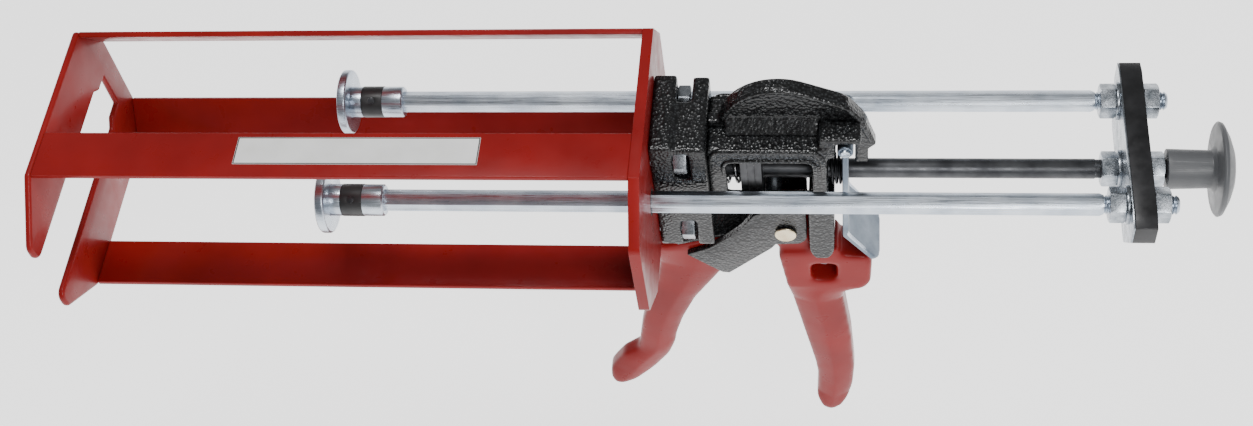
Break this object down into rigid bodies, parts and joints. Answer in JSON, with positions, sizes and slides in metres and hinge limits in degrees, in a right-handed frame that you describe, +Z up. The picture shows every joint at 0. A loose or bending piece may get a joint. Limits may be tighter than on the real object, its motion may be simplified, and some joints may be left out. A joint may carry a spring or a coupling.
{
  "type": "two-cartridge caulking gun",
  "caption": "Manual dispensing gun for a twin cartridge: an open cradle, a pair of hexagonal push rods with plungers on a shared yoke, a central drive rod, a trigger and a thumb release.",
  "frame": {"origin": "on the front face of the cradle's rear plate, midway between the push rods' axes", "axes": "+X along the push rods, from the cradle towards the pull knob; +Y across them, away from the cradle's open loading side; +Z up, away from the trigger"},
  "size_m": [0.497, 0.1167, 0.2538],
  "materials": {
    "red_gloss_paint": "gloss powder coat, tomato red",
    "hammertone_paint": "dark grey hammertone enamel",
    "zinc_plate": "bright zinc plating, faintly blue",
    "dark_steel": "oiled dark steel",
    "black_coated_steel": "black satin coat",
    "spring_steel": "spring steel",
    "black_plastic": "moulded, matt",
    "grey_plastic": "moulded, satin mid-grey",
    "label_film": "blank printed film"
  },
  "bodies": {
    "frame": {"front_plate": "red_gloss_paint", "rear_plate": "red_gloss_paint", "label_bar": "red_gloss_paint", "lower_bar": "red_gloss_paint", "upper_far_bar": "red_gloss_paint", "lower_far_bar": "red_gloss_paint", "rear_grip": "red_gloss_paint", "mounting_block": "hammertone_paint", "bridge_housing": "hammertone_paint", "dome_web": "hammertone_paint", "frame_bolts": "zinc_plate", "frame_nuts": "zinc_plate", "trigger_pivot": "zinc_plate", "release_pin": "zinc_plate", "grip_bolt": "zinc_plate", "return_spring": "spring_steel", "release_spring": "dark_steel", "rod_bush_near": "black_plastic", "rod_bush_far": "black_plastic", "drive_rod_bush": "black_plastic", "blank_label": "label_film"},
    "rod_carriage": {"push_rod_near": "zinc_plate", "push_rod_far": "zinc_plate", "drive_rod": "dark_steel", "yoke_facing_plate": "zinc_plate", "yoke_plate": "black_coated_steel", "yoke_front_nuts": "zinc_plate", "yoke_rear_nuts": "zinc_plate", "yoke_washers": "zinc_plate", "pull_knob": "grey_plastic", "plunger_disc_near": "zinc_plate", "plunger_disc_far": "zinc_plate", "plunger_collar_near": "zinc_plate", "plunger_collar_far": "zinc_plate", "collar_band_near": "black_plastic", "collar_band_far": "black_plastic", "set_screws": "dark_steel", "plunger_screws": "zinc_plate"},
    "trigger_lever": {"trigger": "red_gloss_paint", "trigger_cap": "hammertone_paint", "trigger_cheek_near": "hammertone_paint", "trigger_cheek_far": "hammertone_paint", "trigger_dowels": "zinc_plate", "push_roller": "zinc_plate"},
    "grip_plates": {"grip_plate_front": "dark_steel", "grip_plate_middle": "dark_steel", "grip_plate_rear": "dark_steel"},
    "release": {"release_lever": "zinc_plate"}
  },
  "joints": [
    {"name": "carriage_slide", "type": "slide", "parent": "frame", "child": "rod_carriage", "axis": [1, 0, 0], "range_m": [-0.095, 0.105]},
    {"name": "trigger_pivot_joint", "type": "hinge", "parent": "frame", "child": "trigger_lever", "pos_m": [0.0586, 0, -0.0465], "axis": [0, -1, 0], "range_deg": [0, 20], "stiffness_Nm_per_rad": 2, "springref_deg": -20.05},
    {"name": "grip_plate_slide", "type": "slide", "parent": "frame", "child": "grip_plates", "axis": [-1, 0, 0], "range_m": [0, 0.007], "deforming": ["return_spring"]},
    {"name": "release_lever_pivot", "type": "hinge", "parent": "frame", "child": "release", "pos_m": [0.0849, 0, 0.0172], "axis": [0, 1, 0], "range_deg": [0, 3], "stiffness_Nm_per_rad": 1, "springref_deg": -5.73, "deforming": ["release_spring"]}
  ],
  "couplings": [
    {"joint": "grip_plate_slide", "follows": "trigger_pivot_joint", "m_per_rad": 0.01977}
  ]
}
